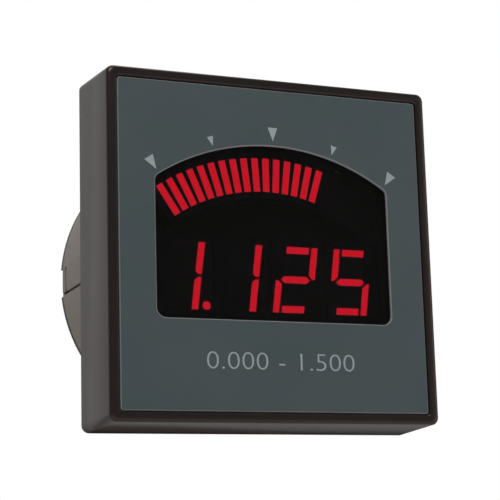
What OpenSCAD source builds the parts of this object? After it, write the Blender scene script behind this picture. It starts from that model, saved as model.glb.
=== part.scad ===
// Digital panel meter: square bezel in front of the panel, round barrel through it.
// Millimetres. X to the right, Y backwards into the panel, Z up.
// The origin is the centre of the face that bears on the panel.

/* [Bezel] */
// Width and height of the bezel at its front edge
bezel_w = 110; // [98:0.5:122]
// Depth from the panel face to the front edge
bezel_depth = 24.8; // [23:0.1:34]
// How far each side spreads from the front edge to the panel face
bezel_draft = 1.1; // [0.4:0.1:2]
// Thickness of the side walls at the front edge
bezel_wall = 3; // [2:0.1:3.4]
// Radius of the upright corners
bezel_corner_r = 2.4; // [1.6:0.1:4]
// Radius of the rounded front rim
rim_round = 1.2; // [0.6:0.1:1.5]
// Width of the rim beside the dial plate
rim_w = 3.1; // [2.8:0.1:4.4]
// Bevel of the rim's inner edge
rim_bevel = 0.4; // [0.1:0.05:0.5]
// Diameter of the moulded screw bosses
boss_d = 7.4; // [6.4:0.2:8.2]
// Gap between a case screw's boss and the side wall
boss_gap = 1; // [0.5:0.1:2]
// Distance between case screws, measured upwards
case_screw_spacing = 54; // [46:0.5:60]

/* [Dial plate] */
// Thickness of the dial plate
plate_t = 1; // [0.6:0.1:1.4]
// Gap between the plate and the rim on each side
plate_gap = 0.45; // [0.05:0.05:0.6]
// How far the plate lies below the crest of the rim
plate_sink = 0.3; // [0.1:0.05:0.6]
// Distance from the bezel's side to the window
window_side = 15.35; // [13.5:0.05:17]
// Distance from the bezel's foot to the window's lower edge
window_base = 31.8; // [28:0.1:35]
// Distance from the bezel's head to the top of the window's arch
window_head = 22; // [19:0.1:25]
// How far the arch rises above the window's sides
arch_rise = 12.31; // [11:0.01:14]
// Radius of the lower corners
window_corner_r = 3; // [1:0.1:5]
// Radius where the sides meet the arch
window_shoulder_r = 2.6; // [1:0.1:5]
// Bevel round the front edges of the plate and its window
plate_bevel = 0.35; // [0.1:0.05:0.5]

/* [Scale marks] */
// Width of a large mark
major_w = 3.3; // [2:0.1:5]
// Height of a large mark
major_h = 4.5; // [3:0.1:6]
// Width of a small mark
minor_w = 2.1; // [1:0.1:4]
// Height of a small mark
minor_h = 3.1; // [2:0.1:5]
// Gap between a mark's tip and the window
mark_gap = 1.5; // [0.6:0.1:3]
// Distance from the window's side to the end of the scale
scale_side = 1.22; // [0.8:0.01:4]
// Thickness of the printed ink
mark_t = 0.12; // [0.05:0.01:0.2]

/* [Filter] */
// Thickness of the dark filter
filter_t = 1.6; // [1:0.1:2]
// How far the filter reaches past the window all round
filter_margin = 3.8; // [3:0.1:4.5]
// Gap between the filter's edge and its recess
filter_gap = 0.2; // [0.1:0.05:0.4]
// Width of the ledge that carries the filter
ledge_w = 2.4; // [1.5:0.1:2.8]
// Thickness of that ledge
ledge_t = 0.8; // [0.6:0.1:1.5]

/* [Bar graph] */
// Number of light bars
bar_count = 21; // [11:2:23]
// Number of bars that are lit, from the left
bars_lit = 16; // [0:1:21]
// Gap between neighbouring bars at their inner ends
bar_gap = 0.9; // [0.5:0.1:2]
// Length of a light bar
bar_len = 11; // [8:0.1:12.2]
// Distance from the window's arch to the bars' outer ends
bar_inset = 3.9; // [3:0.1:6]
// How far the point that the bars aim at lies above the arch's centre
bar_rise = 1.4; // [0:0.1:2.4]
// Depth of a light bar
bar_depth = 2.2; // [1:0.1:4]
// Border of the housing round the bars
bar_border = 2; // [1.2:0.1:2.4]

/* [Digits] */
// Distance from the window's side to the end of the row of housings
digits_side = 1.05; // [0.6:0.05:4]
// Sideways place of the digits' middle
digits_x = -0.5; // [-0.8:0.1:0]
// Distance from the window's lower edge to the digits' feet
digits_base = 3.8; // [3:0.1:6]
// Distance from the digits' tops to the lowest point of the bar graph's housing
digits_head = 4.98; // [4:0.01:8]
// Space from the right side of one digit to the left side of the next
digit_space = 8; // [7:0.1:9.5]
// Slant of the digits from upright
digit_slant = 7.5; // [0:0.5:9]
// Width of a segment
segment_w = 2.25; // [1.4:0.05:2.6]
// Gap between neighbouring segments
segment_gap = 0.55; // [0.3:0.05:1]
// Depth of a segment's light guide
segment_depth = 1.8; // [0.8:0.1:4]
// Diameter of a decimal point
point_d = 2.7; // [1.5:0.1:3]
// Gap between a digit and its decimal point
point_gap = 1.28; // [0.8:0.01:1.6]
// Border of a digit's housing above and below the digit
housing_border = 2.7; // [1.5:0.1:3.2]
// Border of a digit's housing at its left side
housing_edge = 0.3; // [0.2:0.05:0.6]
// Gap between neighbouring housings
housing_gap = 0.3; // [0.1:0.05:0.5]

/* [Display board] */
// Depth of the lit faces behind the plate's front
display_sink = 6.4; // [5.5:0.1:7.5]
// Depth of the digit and bar housings
housing_depth = 8; // [6:0.1:8.8]
// Thickness of every circuit board
board_t = 1.6; // [1:0.1:1.8]
// Gap between the display board and the case screws' bosses
board_gap = 1.6; // [0.5:0.1:3]
// Distance from the bezel's upper wall to the display board
board_above = 11; // [9:0.5:13]
// Distance from the bezel's lower wall to the display board
board_below = 17; // [14:0.5:19]
// Distance of the display board's screws from its edges
board_screw_edge = 4; // [3.5:0.1:5]

/* [Main board] */
// Gap between the main board and the barrel
main_board_gap = 2.2; // [2.1:0.1:4]
// Place of the main board's front face behind the panel face
main_board_y = 4; // [2:0.5:6]
// Distance of a stand-off's middle from the main board's edge
standoff_edge = 3.5; // [3.2:0.1:6]
// Width of a stand-off across its flats
standoff_af = 5.5; // [4.8:0.1:6]

/* [Chips] */
// Width of a chip's body between its rows of legs
chip_w = 7.5; // [4:0.1:8.5]
// Thickness of a chip's body
chip_t = 2.3; // [1:0.1:2.6]
// Distance between a chip's legs
chip_pitch = 1.27; // [1:0.01:1.4]
// Distance between the display board's driver chips
driver_spacing = 17; // [15:0.5:24]
// Length of a trimmer
trimmer_len = 9.5; // [7:0.1:10.5]
// Height of a trimmer above its board
trimmer_h = 10; // [6:0.1:12]

/* [Power board] */
// Distance from the barrel's bore to the power board's upper face
power_board_rise = 25.5; // [23:0.5:28]
// Gap between the power board and the barrel
power_board_gap = 5.8; // [4.5:0.1:8]
// Width of the mains transformer
transformer_w = 30; // [26:0.5:33]
// Height of the mains transformer
transformer_h = 25; // [20:0.5:28]
// Depth of the transformer's lamination stack
transformer_stack = 14; // [10:0.5:16]
// Depth of the transformer's winding
transformer_len = 22; // [18:0.5:24.5]
// Diameter of a filter capacitor
capacitor_d = 10; // [6:0.5:11]
// Height of a filter capacitor
capacitor_h = 16; // [10:0.5:20]

/* [Current transformer] */
// Width of the current transformer's case
ct_w = 14; // [10:0.5:16]
// Height and depth of its case
ct_size = 25; // [22:0.5:28]
// Diameter of the hole through it
ct_hole_d = 11; // [9.8:0.1:13]
// Gap between it and the mains transformer below
ct_gap = 1.7; // [1:0.1:3]
// Width of the copper strap through it
strap_w = 8; // [6.8:0.2:9]
// Thickness of the copper strap
strap_t = 2; // [1:0.1:2.4]
// Gap between the strap's legs and the current transformer
strap_gap = 2; // [1:0.1:3]

/* [Case] */
// Thickness of the flange that bears on the panel
flange_t = 3.2; // [2.8:0.1:4]
// Gap between the flange and the bezel on each side
flange_gap = 0.15; // [0.05:0.05:0.3]
// Distance from the bezel's side to the barrel
barrel_edge = 5.8; // [5:0.1:7]
// Length of the barrel behind the panel face
barrel_len = 46.1; // [43:0.1:58]
// Thickness of the barrel's wall
barrel_wall = 2.5; // [2:0.1:2.8]
// Number of snap windows round the barrel
snap_count = 4; // [2:1:4]
// Width of the flat land at a snap window
land_w = 9.5; // [8.5:0.1:12]
// Length of a snap window round the barrel
snap_window_w = 8.5; // [7.6:0.1:9.4]
// Length of a snap window along the barrel
snap_window_len = 1.7; // [1.2:0.1:2.2]
// Distance from the barrel's end to the front of a snap window
snap_back = 5.3; // [4.8:0.1:7]
// Width of the relief slot beside a snap window
slot_w = 0.9; // [0.7:0.1:1.2]
// Length of the relief slot beside a snap window
relief_len = 30; // [15:0.5:34]

/* [Panel fixing] */
// Distance of a mounting stud from the bezel's side
stud_edge = 12.1375; // [10.5:0.0001:13.5]
// Diameter of a mounting stud
stud_d = 4.82; // [4:0.01:5.3]
// Length of a stud behind the panel face
stud_len = 22; // [15:0.5:32]
// Diameter of a stud's shoulder inside the flange
stud_shoulder_d = 6; // [5.4:0.1:7]
// Diameter of a stud's head
stud_head_d = 10; // [8:0.1:11]

/* [Rear cover] */
// Thickness of the rear cover
cover_t = 2.5; // [2:0.1:3.2]
// Gap between the cover and the barrel
cover_gap = 0.15; // [0.05:0.05:0.3]
// Thickness of the cover's rim on the barrel's end
cover_rim_t = 1.6; // [1:0.1:2.2]
// How far that rim reaches in from the bore
cover_rim_w = 1.5; // [1:0.1:2.5]
// Thickness of a snap finger
finger_t = 1.8; // [1.2:0.1:2.2]

/* [Current terminals] */
// Half the distance between the current studs
terminal_half = 22; // [20:0.5:24]
// Diameter of a current stud
terminal_d = 6.35; // [5:0.05:7]
// Free length of a current stud behind its hexagonal shoulder
terminal_free = 14; // [8:0.5:20]
// Width of its shoulder and nut across their flats
terminal_af = 11.1; // [10:0.1:12.4]
// Thickness of its shoulder and nut
terminal_nut_h = 5; // [3:0.1:6]
// Diameter of its washer
washer_d = 13; // [12:0.1:14.5]
// Thickness of its washer
washer_t = 1.2; // [0.8:0.1:2]
// Length of the cover's boss round it
terminal_boss_len = 6; // [3:0.1:8]

/* [Supply terminals] */
// Number of supply terminals
supply_ways = 4; // [2:1:5]
// Distance between supply terminals
supply_pitch = 5.08; // [4.5:0.02:5.6]
// Height of the terminal block
supply_h = 12; // [10:0.5:14]
// Length of the terminal block
supply_len = 20; // [16:0.5:24]
// How far the terminal block reaches into the barrel
supply_inset = 8; // [6:0.5:9]
// Width and height of a wire way
wire_way = 3; // [2:0.1:3.4]
// Diameter of a terminal screw
supply_screw_d = 3.6; // [2.5:0.1:4]

/* [Hidden] */
$fn = 64;
arc_facets = 180;

// Screws that hold the meter together, and the play round them
fit = 0.05;
screw_d = 2.9;
screw_head_d = 5.4;
screw_head_h = 1.8;
screw_play = 0.5;
pilot_d = screw_d + 2 * fit;
case_screw_len = 12;
case_screw_sink = 0.2;
board_screw_len = 7;
cross_w = 0.8;
cross_depth = 0.9;
corner_steps = 8;
arch_steps = 40;
over = 1;

// Depths from front to back
front_edge_y = -bezel_depth;
crest_y = front_edge_y - rim_round;
plate_y = crest_y + plate_sink;
seat_y = plate_y + plate_t;
front_wall_y = seat_y + filter_t + ledge_t;
lit_y = plate_y + display_sink;
display_board_y = lit_y + housing_depth;
display_board_back = display_board_y + board_t;
main_board_back = main_board_y + board_t;
cover_y = barrel_len - cover_t;

// Widths
cavity_half = bezel_w / 2 - bezel_wall;
plate_half = bezel_w / 2 - rim_w - plate_gap;
flange_half = cavity_half - flange_gap;
barrel_r = bezel_w / 2 - barrel_edge;
bore_r = barrel_r - barrel_wall;
stud_half = bezel_w / 2 - stud_edge;

// Case screws and the display board's screws
case_screw_x = cavity_half - boss_d / 2 - boss_gap;
case_screw_z = case_screw_spacing / 2;
display_board_half = case_screw_x - boss_d / 2 - board_gap;
display_board_top = cavity_half - board_above;
display_board_foot = board_below - cavity_half;
board_screw_x = display_board_half - board_screw_edge;
board_screw_h = (display_board_top - display_board_foot) / 2 - board_screw_edge;
board_middle_z = (display_board_top + display_board_foot) / 2;
board_boss_d = boss_d - 1;

// ---- Building helpers ----

// A flat outline in X and Z, given depth from y0 back to y1
module slab(y0, y1) {
    translate([0, y1, 0])
        rotate([90, 0, 0])
            linear_extrude(y1 - y0)
                children();
}

// A round rod along Y at x, z
module rod(x, z, d, y0, y1) {
    translate([x, y1, z])
        rotate([90, 0, 0])
            cylinder(d = d, h = y1 - y0);
}

// A hexagonal bar along Y, measured across its flats
module hex_bar(x, z, across, y0, y1) {
    translate([x, y1, z])
        rotate([90, 0, 0])
            cylinder(d = across / cos(30), h = y1 - y0, $fn = 6);
}

// A box from low corner to high corner
module block(low, high) {
    translate(low)
        cube(high - low);
}

// Children at all four combinations of plus and minus x and z
module four_corners(x, z) {
    for (sx = [-1, 1], sz = [-1, 1])
        translate([sx * x, 0, sz * z])
            children();
}

function arc(cx, cz, r, from, to, steps) =
    [for (i = [0 : steps]) let (a = from + (to - from) * i / steps) [cx + r * cos(a), cz + r * sin(a)]];

// Corner points of a square with rounded corners
function rounded_square(half, r) = concat(
    arc(half - r, half - r, r, 0, 90, corner_steps),
    arc(r - half, half - r, r, 90, 180, corner_steps),
    arc(r - half, r - half, r, 180, 270, corner_steps),
    arc(half - r, r - half, r, 270, 360, corner_steps));

// ---- Window, shared by the bezel, the plate and the filter ----

window_half = bezel_w / 2 - window_side;
window_bottom = window_base - bezel_w / 2;
window_arc_r = (pow(window_half, 2) + pow(arch_rise, 2)) / (2 * arch_rise);
window_arc_z = bezel_w / 2 - window_head - window_arc_r;
shoulder_x = window_half - window_shoulder_r;
shoulder_z = window_arc_z + sqrt(pow(window_arc_r - window_shoulder_r, 2) - pow(shoulder_x, 2));
shoulder_a = atan2(shoulder_z - window_arc_z, shoulder_x);
corner_x = window_half - window_corner_r;
corner_z = window_bottom + window_corner_r;

// The window's outline, spread outwards by grow: two lower corners, two shoulders and the arch
function window_outline(grow = 0) = concat(
    arc(-corner_x, corner_z, window_corner_r + grow, 180, 270, corner_steps),
    arc(corner_x, corner_z, window_corner_r + grow, 270, 360, corner_steps),
    arc(shoulder_x, shoulder_z, window_shoulder_r + grow, 0, shoulder_a, corner_steps),
    arc(0, window_arc_z, window_arc_r + grow, shoulder_a, 180 - shoulder_a, arch_steps),
    arc(-shoulder_x, shoulder_z, window_shoulder_r + grow, 180 - shoulder_a, 180, corner_steps));

// ---- Bezel and dial ----

// Drafted sides and rounded rim as one smooth form
module bezel_form() {
    rim_steps = 6;
    hull() {
        slab(-skin, 0)
            polygon(rounded_square(bezel_w / 2 + bezel_draft, bezel_corner_r));
        for (i = [0 : rim_steps]) {
            a = 90 * i / rim_steps;
            inset = rim_round * (1 - cos(a));
            y = front_edge_y - rim_round * sin(a);
            slab(y, y + skin)
                polygon(rounded_square(bezel_w / 2 - inset, bezel_corner_r - inset / 2));
        }
    }
}

// Children at the four screws of the display board
module at_board_screws() {
    translate([0, 0, board_middle_z])
        four_corners(board_screw_x, board_screw_h)
            children();
}

// Webs from the case screws' bosses to the side walls
module boss_webs() {
    web_t = 2;
    reach = boss_d / 2 + boss_gap + fit;
    for (sx = [-1, 1], sz = [-1, 1])
        translate([sx * case_screw_x, 0, sz * case_screw_z])
            block([min(0, sx * reach), front_wall_y - ledge_t, -web_t / 2],
                  [max(0, sx * reach), -flange_t, web_t / 2]);
}

module bezel() {
    root = ledge_t / 2;
    color([0.13, 0.12, 0.12])
    difference() {
        union() {
            difference() {
                bezel_form();
                // hollow behind the front wall
                block([-cavity_half, front_wall_y, -cavity_half], [cavity_half, over, cavity_half]);
            }
            four_corners(case_screw_x, case_screw_z)
                rod(0, 0, boss_d, front_wall_y - root, -flange_t);
            boss_webs();
            at_board_screws()
                rod(0, 0, board_boss_d, front_wall_y - root, display_board_y);
        }
        // seat of the dial plate, with the rim's inner edge bevelled
        slab(crest_y - over, seat_y)
            polygon(plate_outline(plate_gap));
        hull() {
            slab(crest_y - skin, crest_y)
                polygon(plate_outline(plate_gap + rim_bevel));
            slab(crest_y + rim_bevel, crest_y + rim_bevel + skin)
                polygon(plate_outline(plate_gap));
        }
        // recess and opening of the filter
        slab(seat_y - root, seat_y + filter_t)
            polygon(window_outline(filter_margin + filter_gap));
        slab(seat_y, front_wall_y + over)
            polygon(window_outline(filter_margin - ledge_w));
        four_corners(case_screw_x, case_screw_z)
            rod(0, 0, pilot_d, -flange_t - case_screw_len - fit, -flange_t + over);
        at_board_screws()
            rod(0, 0, pilot_d, display_board_y - board_screw_len, display_board_y + over);
    }
}

plate_corner_r = 0.8;
skin = 0.01;

// The dial plate's outline, spread outwards by grow
function plate_outline(grow = 0) = rounded_square(plate_half + grow, plate_corner_r + grow);

module dial_plate() {
    color([0.29, 0.32, 0.33])
    difference() {
        hull() {
            slab(plate_y, plate_y + skin)
                polygon(plate_outline(-plate_bevel));
            slab(plate_y + plate_bevel, seat_y)
                polygon(plate_outline());
        }
        slab(plate_y - over, seat_y + over)
            polygon(window_outline());
        // bevelled front edge of the window
        hull() {
            slab(plate_y - skin, plate_y)
                polygon(window_outline(plate_bevel));
            slab(plate_y + plate_bevel, plate_y + plate_bevel + skin)
                polygon(window_outline());
        }
    }
}

// Angle from upright to the end of the scale
scale_half = asin((window_half - scale_side) / window_arc_r);

// A triangle whose tip points down at the origin
module mark(w, h) {
    polygon([[0, 0], [w / 2, h], [-w / 2, h]]);
}

module scale_marks() {
    color([0.65, 0.67, 0.68])
    slab(plate_y - mark_t, plate_y)
        translate([0, window_arc_z])
            for (i = [-2 : 2])
                rotate(-i * scale_half / 2)
                    translate([0, window_arc_r + mark_gap])
                        mark(i % 2 == 0 ? major_w : minor_w, i % 2 == 0 ? major_h : minor_h);
}

module display_filter() {
    color([0.1, 0.02, 0.03, 0.6])
    slab(seat_y, seat_y + filter_t)
        polygon(window_outline(filter_margin));
}

// ---- Bar graph ----

bar_r = window_arc_r - bar_inset;
bar_centre_z = window_arc_z + bar_rise;
bar_step = 2 * scale_half / (bar_count - 1);
bar_w = 2 * (bar_r - bar_len) * sin(bar_step / 2) - bar_gap;
bars_outer = bar_r + bar_border;
bars_inner = bar_r - bar_len - bar_border;
bars_half = scale_half + asin((bar_w / 2 + bar_border) / bars_inner);

// Children in the place of bar i, at the middle of its length
module at_bar(i) {
    translate([0, bar_centre_z])
        rotate(scale_half - bar_step * i)
            translate([0, bar_r - bar_len / 2])
                children();
}

// One bar's outline in its place, spread by grow
module bar_outline(i, grow = 0) {
    at_bar(i)
        square([bar_w + 2 * grow, bar_len + 2 * grow], center = true);
}

module bargraph_housing() {
    reach = 2 * bars_outer;
    color([0.06, 0.06, 0.06])
    slab(lit_y, display_board_y)
        difference() {
            translate([0, bar_centre_z])
                intersection() {
                    difference() {
                        circle(bars_outer, $fn = arc_facets);
                        circle(bars_inner, $fn = arc_facets);
                    }
                    polygon([[0, 0], [reach * sin(bars_half), reach * cos(bars_half)],
                             [0, reach / cos(bars_half)], [-reach * sin(bars_half), reach * cos(bars_half)]]);
                }
            for (i = [0 : bar_count - 1])
                bar_outline(i, fit);
        }
}

// Light bars from number a up to but not including number b
module bars(a, b) {
    for (i = [0 : bar_count - 1])
        if (i >= a && i < b)
            slab(lit_y, lit_y + bar_depth)
                bar_outline(i);
}

module lit_bars() {
    color([0.93, 0.08, 0.18])
    bars(0, bars_lit);
}

module dark_bars() {
    color([0.2, 0.04, 0.05])
    bars(bars_lit, bar_count);
}

// One small light source on the board behind each bar
module bar_emitters() {
    emitter_w = 1.2;
    emitter_len = 2;
    emitter_t = 0.8;
    color([0.9, 0.85, 0.7])
    for (i = [0 : bar_count - 1])
        slab(display_board_y - emitter_t, display_board_y)
            at_bar(i)
                square([emitter_w, emitter_len], center = true);
}

// ---- Digits ----

// The digits that are shown: segments a to g of 1, 1, 2 and 5
SHOWN = ["bc", "bc", "abged", "afgcd"];
SEGMENTS = "abcdefg";
digit_count = len(SHOWN);
digit_pitch = 2 * (window_half - digits_side) / digit_count;
digit_w = digit_pitch - digit_space;
digits_foot = window_bottom + digits_base;
digit_h = bar_centre_z + bars_inner * cos(bars_half) - digits_head - digits_foot;
digits_z = digits_foot + digit_h / 2;
point_x = digit_w / 2 + segment_w / 2 + point_gap + point_d / 2;
housing_left = digit_w / 2 + segment_w / 2 + digit_h / 2 * tan(digit_slant) + housing_edge;
housing_h = digit_h + 2 * housing_border;

function digit_x(n) = digits_x + (n - (digit_count + 1) / 2) * digit_pitch;

// Leans the children over to the right about the digit's middle
module slanted() {
    multmatrix([[1, tan(digit_slant), 0, 0], [0, 1, 0, 0], [0, 0, 1, 0], [0, 0, 0, 1]])
        children();
}

// Outline of one segment of an upright digit, spread by grow
module segment(name, grow = 0) {
    s = segment_w / 2 + grow;
    top = digit_h / 2 + grow;
    side = digit_w / 2;
    mid = segment_gap / 2 - grow;
    bevel_x = segment_w / 2;
    bevel_z = segment_w / 2;
    end = side - s - segment_gap + 2 * grow;
    if (name == "a" || name == "d")
        mirror([0, name == "d" ? 1 : 0])
            polygon([[-end, top], [end, top], [end, top - 2 * s], [-end, top - 2 * s]]);
    if (name == "b" || name == "c" || name == "e" || name == "f")
        mirror([name == "e" || name == "f" ? 1 : 0, 0])
            mirror([0, name == "c" || name == "e" ? 1 : 0])
                polygon([[side - s, top], [side + s, top], [side + s, mid],
                         [side - s + bevel_x, mid], [side - s, mid + bevel_z]]);
    if (name == "g")
        polygon([[-end - s, 0], [-end, s], [end, s], [end + s, 0], [end, -s], [-end, -s]]);
}

// All segments of digit n, either those shown or those dark
module segments(n, lit, grow = 0) {
    for (name = SEGMENTS) {
        shown = len(search(name, SHOWN[n - 1])) > 0;
        if (shown == lit)
            segment(name, grow);
    }
}

// Depth and place of whatever belongs to digit n
module in_digit(n, y0, y1) {
    translate([digit_x(n), 0, digits_z])
        slab(y0, y1)
            children();
}

module point_outline(grow = 0) {
    translate([point_x, point_d / 2 - digit_h / 2])
        circle(d = point_d + 2 * grow);
}

module point_at_slant(grow = 0) {
    translate([(point_d / 2 - digit_h / 2) * tan(digit_slant), 0])
        point_outline(grow);
}

module digit_housing(n) {
    color([0.05, 0.05, 0.05])
    difference() {
        in_digit(n, lit_y, display_board_y)
            translate([-housing_left, -housing_h / 2])
                square([digit_pitch - housing_gap, housing_h]);
        in_digit(n, lit_y - over, lit_y + segment_depth) {
            slanted() {
                segments(n, true, fit);
                segments(n, false, fit);
            }
            point_at_slant(fit);
        }
    }
}

module lit_segments(n) {
    color([0.93, 0.08, 0.18])
    in_digit(n, lit_y, lit_y + segment_depth)
        slanted()
            segments(n, true);
}

module dark_segments(n) {
    color([0.16, 0.03, 0.04])
    in_digit(n, lit_y, lit_y + segment_depth)
        slanted()
            segments(n, false);
}

module lit_point() {
    color([0.93, 0.08, 0.18])
    in_digit(1, lit_y, lit_y + segment_depth)
        point_at_slant();
}

module dark_points() {
    color([0.16, 0.03, 0.04])
    for (n = [2 : digit_count])
        in_digit(n, lit_y, lit_y + segment_depth)
            point_at_slant();
}

// ---- Boards and chips ----

leg_t = 0.3;
leg_w = 0.5;
leg_out = 1.2;
chip_lift = 0.4;

// A chip on a board whose face is at y, with a row of legs down each long side.
// side is 1 on the back of the board and -1 on its front.
module chip(x, z, y, side, legs, width = chip_w) {
    body = legs * chip_pitch;
    near = side * chip_lift;
    far = side * (chip_lift + chip_t);
    translate([x, y, z]) {
        block([-body / 2, min(near, far), -width / 2], [body / 2, max(near, far), width / 2]);
        for (i = [0 : legs - 1], s = [-1, 1])
            translate([(i - (legs - 1) / 2) * chip_pitch, 0, s * (width / 2 + leg_out / 2 - 2 * fit)])
                block([-leg_w / 2, min(0, near + side * leg_t), -leg_out / 2],
                      [leg_w / 2, max(0, near + side * leg_t), leg_out / 2]);
    }
}

// A pan-head screw along Y: its head lies behind y and its shank in front
module pan_screw(x, z, y, length) {
    cross = screw_head_d / 2 - 2 * cross_w / 2 - screw_play;
    difference() {
        union() {
            rod(x, z, screw_d, y - length, y + fit);
            rod(x, z, screw_head_d, y, y + screw_head_h);
        }
        translate([x, y + screw_head_h, z]) {
            block([-cross_w / 2, -cross_depth, -cross], [cross_w / 2, over, cross]);
            block([-cross, -cross_depth, -cross_w / 2], [cross, over, cross_w / 2]);
        }
    }
}

module display_board() {
    color([0.05, 0.09, 0.07])
    difference() {
        block([-display_board_half, display_board_y, display_board_foot],
              [display_board_half, display_board_back, display_board_top]);
        at_board_screws()
            rod(0, 0, screw_d + screw_play, display_board_y - over, display_board_back + over);
        four_corners(standoff_half, standoff_half)
            rod(0, 0, screw_d + 2 * fit, display_board_y - over, display_board_back + over);
    }
}

module display_board_screws() {
    color([0.7, 0.7, 0.72])
    at_board_screws()
        pan_screw(0, 0, display_board_back, board_screw_len);
}

driver_z = 8;
driver_legs = 10;

module driver_chips() {
    color([0.08, 0.08, 0.08])
    for (i = [-1 : 1])
        chip(i * driver_spacing, driver_z, display_board_back, 1, driver_legs);
}

resistor_w = 1.6;
resistor_len = 3.2;
resistor_t = 0.6;
resistor_pitch = 3.4;
resistor_row = 5;
resistor_z = -7;
resistor_count = 12;

module segment_resistors() {
    color([0.12, 0.12, 0.13])
    for (row = [0 : 1], i = [0 : resistor_count - 1])
        translate([(i - (resistor_count - 1) / 2) * resistor_pitch, display_board_back,
                   resistor_z - row * resistor_row])
            block([-resistor_w / 2, 0, -resistor_len / 2], [resistor_w / 2, resistor_t, resistor_len / 2]);
}

header_edge = 10.5;
header_z = display_board_foot + header_edge;
header_pins = 10;
header_pitch = 2.54;
header_t = 2.5;
pin_w = 0.64;
pin_play = 0.16;
socket_gap = 3.9;
socket_floor = 2;
header_half = header_pins * header_pitch / 2;

// Children at each pin of the header between the two boards
module at_pins() {
    for (i = [0 : header_pins - 1])
        translate([(i - (header_pins - 1) / 2) * header_pitch, 0, header_z])
            children();
}

module board_socket() {
    socket_back = main_board_y - header_t - socket_gap;
    way = pin_w / 2 + pin_play / 2;
    color([0.07, 0.07, 0.08])
    difference() {
        block([-header_half, display_board_back, header_z - header_t / 2],
              [header_half, socket_back, header_z + header_t / 2]);
        at_pins()
            block([-way, display_board_back + socket_floor, -way], [way, socket_back + over, way]);
    }
}

module board_pins() {
    color([0.8, 0.68, 0.3])
    union() {
        block([-header_half, main_board_y - header_t, header_z - header_t / 2],
              [header_half, main_board_y, header_z + header_t / 2]);
        at_pins()
            block([-pin_w / 2, display_board_back + socket_floor + fit, -pin_w / 2],
                  [pin_w / 2, main_board_y - header_t / 2, pin_w / 2]);
    }
}

main_board_r = bore_r - main_board_gap;
standoff_half = (main_board_r - standoff_edge) / sqrt(2);
main_screw_len = 8;

module board_standoffs() {
    color([0.78, 0.66, 0.36])
    four_corners(standoff_half, standoff_half)
        difference() {
            union() {
                hex_bar(0, 0, standoff_af, display_board_back, main_board_y);
                rod(0, 0, screw_d, display_board_y, display_board_back + fit);
            }
            rod(0, 0, pilot_d, main_board_back - main_screw_len - fit, main_board_y + over);
        }
}

module main_board() {
    color([0.05, 0.28, 0.14])
    difference() {
        rod(0, 0, 2 * main_board_r, main_board_y, main_board_back);
        four_corners(standoff_half, standoff_half)
            rod(0, 0, screw_d + screw_play, main_board_y - over, main_board_back + over);
    }
}

module main_board_screws() {
    color([0.7, 0.7, 0.72])
    four_corners(standoff_half, standoff_half)
        pan_screw(0, 0, main_board_back, main_screw_len);
}

microcontroller_z = 4;
microcontroller_w = 10;
microcontroller_legs = 18;
converter_z = 22;
converter_legs = 10;

module microcontroller() {
    color([0.08, 0.08, 0.08])
    chip(0, microcontroller_z, main_board_y, -1, microcontroller_legs, microcontroller_w);
}

module converter_chip() {
    color([0.08, 0.08, 0.08])
    chip(0, converter_z, main_board_y, -1, converter_legs);
}

trimmer_edge = 8;
trimmer_angle = 57;
trimmer_w = 4.8;
trimmer_slot_d = 2.4;
trimmer_slot_h = 1.2;
trimmer_way_d = 4;

// Children at the two trimmers
module at_trimmers() {
    r = main_board_r - trimmer_edge;
    for (s = [-1, 1])
        translate([s * r * cos(trimmer_angle), 0, r * sin(trimmer_angle)])
            children();
}

// Two multi-turn trimmers whose slotted heads face the rear cover
module calibration_trimmers() {
    top = main_board_back + trimmer_h;
    slot_t = 0.5;
    color([0.15, 0.3, 0.6])
    at_trimmers()
        difference() {
            union() {
                block([-trimmer_len / 2, main_board_back, -trimmer_w / 2],
                      [trimmer_len / 2, top, trimmer_w / 2]);
                rod(0, 0, trimmer_slot_d, top - fit, top + trimmer_slot_h);
            }
            block([-trimmer_slot_d, top + trimmer_slot_h - slot_t, -slot_t / 2],
                  [trimmer_slot_d, top + trimmer_slot_h + over, slot_t / 2]);
        }
}

// ---- Power supply ----

power_board_clear = 1.2;
power_board_z = power_board_rise - bore_r;
power_board_back = cover_y - power_board_clear;
power_board_half = sqrt(pow(bore_r, 2) - pow(power_board_z - board_t, 2)) - power_board_gap;

module power_board() {
    color([0.05, 0.28, 0.14])
    block([-power_board_half, main_board_back, power_board_z - board_t],
          [power_board_half, power_board_back, power_board_z]);
}

transformer_edge = 3;
transformer_gap = 5;
transformer_x = transformer_edge + transformer_w / 2 - power_board_half;
transformer_y = main_board_back + transformer_gap + transformer_len / 2;
limb = transformer_w / 6;

// Stack of laminations with its two windows
module transformer_core() {
    color([0.42, 0.42, 0.45])
    translate([transformer_x, transformer_y, power_board_z])
        difference() {
            block([-transformer_w / 2, -transformer_stack / 2, 0],
                  [transformer_w / 2, transformer_stack / 2, transformer_h]);
            for (s = [-1, 1])
                translate([s * 1.5 * limb, 0, 0])
                    block([-limb / 2, -transformer_stack, limb],
                          [limb / 2, transformer_stack, transformer_h - limb]);
        }
}

// Coil round the middle limb, standing out in front of and behind the stack
module transformer_winding() {
    outer = 2 * limb - fit;
    color([0.75, 0.6, 0.2])
    translate([transformer_x, transformer_y, power_board_z])
        difference() {
            block([-outer, -transformer_len / 2, limb + fit],
                  [outer, transformer_len / 2, transformer_h - limb - fit]);
            block([-limb - fit, -transformer_stack / 2 - fit, 0],
                  [limb + fit, transformer_stack / 2 + fit, transformer_h]);
        }
}

capacitor_side = 15;
capacitor_front = 4;
capacitor_gap = 1.5;
capacitor_groove = 0.5;
capacitor_x = power_board_half - capacitor_side;

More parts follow.
